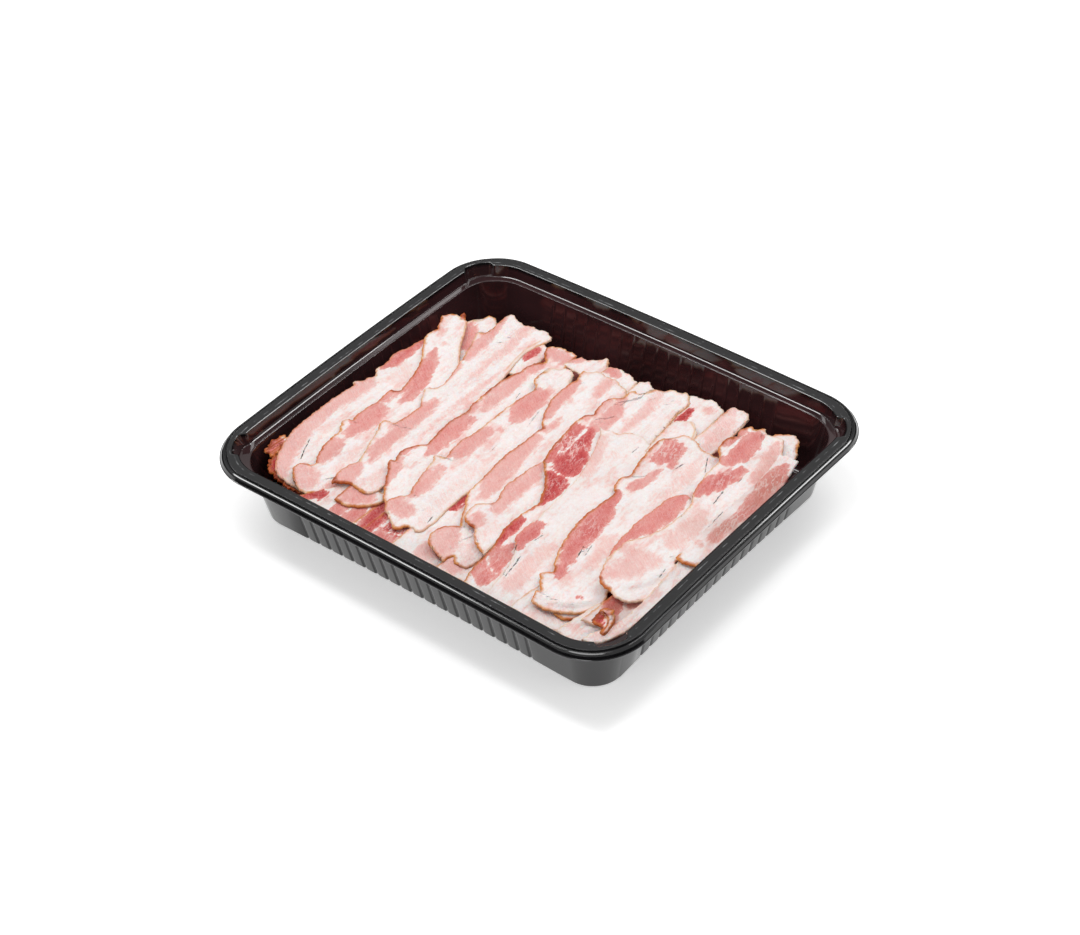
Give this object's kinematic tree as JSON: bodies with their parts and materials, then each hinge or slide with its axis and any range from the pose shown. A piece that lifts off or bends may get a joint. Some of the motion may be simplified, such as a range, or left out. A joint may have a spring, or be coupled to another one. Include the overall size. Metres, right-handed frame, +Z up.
{
  "type": "open tray of sliced bacon",
  "caption": "Open rectangular black moulded plastic tray with a flat sealing rim and ribbed walls, filled with overlapping slices of raw streaky bacon.",
  "frame": {"origin": "centre of the tray's flat base, on the surface it rests on", "axes": "+X along the tray's long side, +Y along the slices, +Z up out of the tray"},
  "size_m": [0.2606, 0.23, 0.0427],
  "materials": {
    "tray_plastic": "black moulded, satin to gloss",
    "bacon": "raw cured streaky bacon, moist satin",
    "bacon_shaded": "raw cured bacon in shade"
  },
  "bodies": {
    "root": {"curled_scrap": "bacon", "far_slice_1": "bacon", "far_slice_10": "bacon", "far_slice_2": "bacon", "far_slice_3": "bacon", "far_slice_4": "bacon", "far_slice_5": "bacon", "far_slice_6": "bacon", "far_slice_7": "bacon", "far_slice_8": "bacon", "far_slice_9": "bacon", "hidden_stack": "bacon_shaded", "left_scrap_1": "bacon", "left_scrap_2": "bacon", "near_slice_1": "bacon", "near_slice_10": "bacon", "near_slice_2": "bacon", "near_slice_3": "bacon", "near_slice_4": "bacon", "near_slice_5": "bacon", "near_slice_6": "bacon", "near_slice_7": "bacon", "near_slice_8": "bacon", "near_slice_9": "bacon", "slice_1": "bacon", "slice_10": "bacon", "slice_11": "bacon", "slice_12": "bacon", "slice_13": "bacon", "slice_2": "bacon", "slice_3": "bacon", "slice_4": "bacon", "slice_5": "bacon", "slice_6": "bacon", "slice_7": "bacon", "slice_8": "bacon", "slice_9": "bacon", "tray": "tray_plastic"}
  },
  "joints": []
}
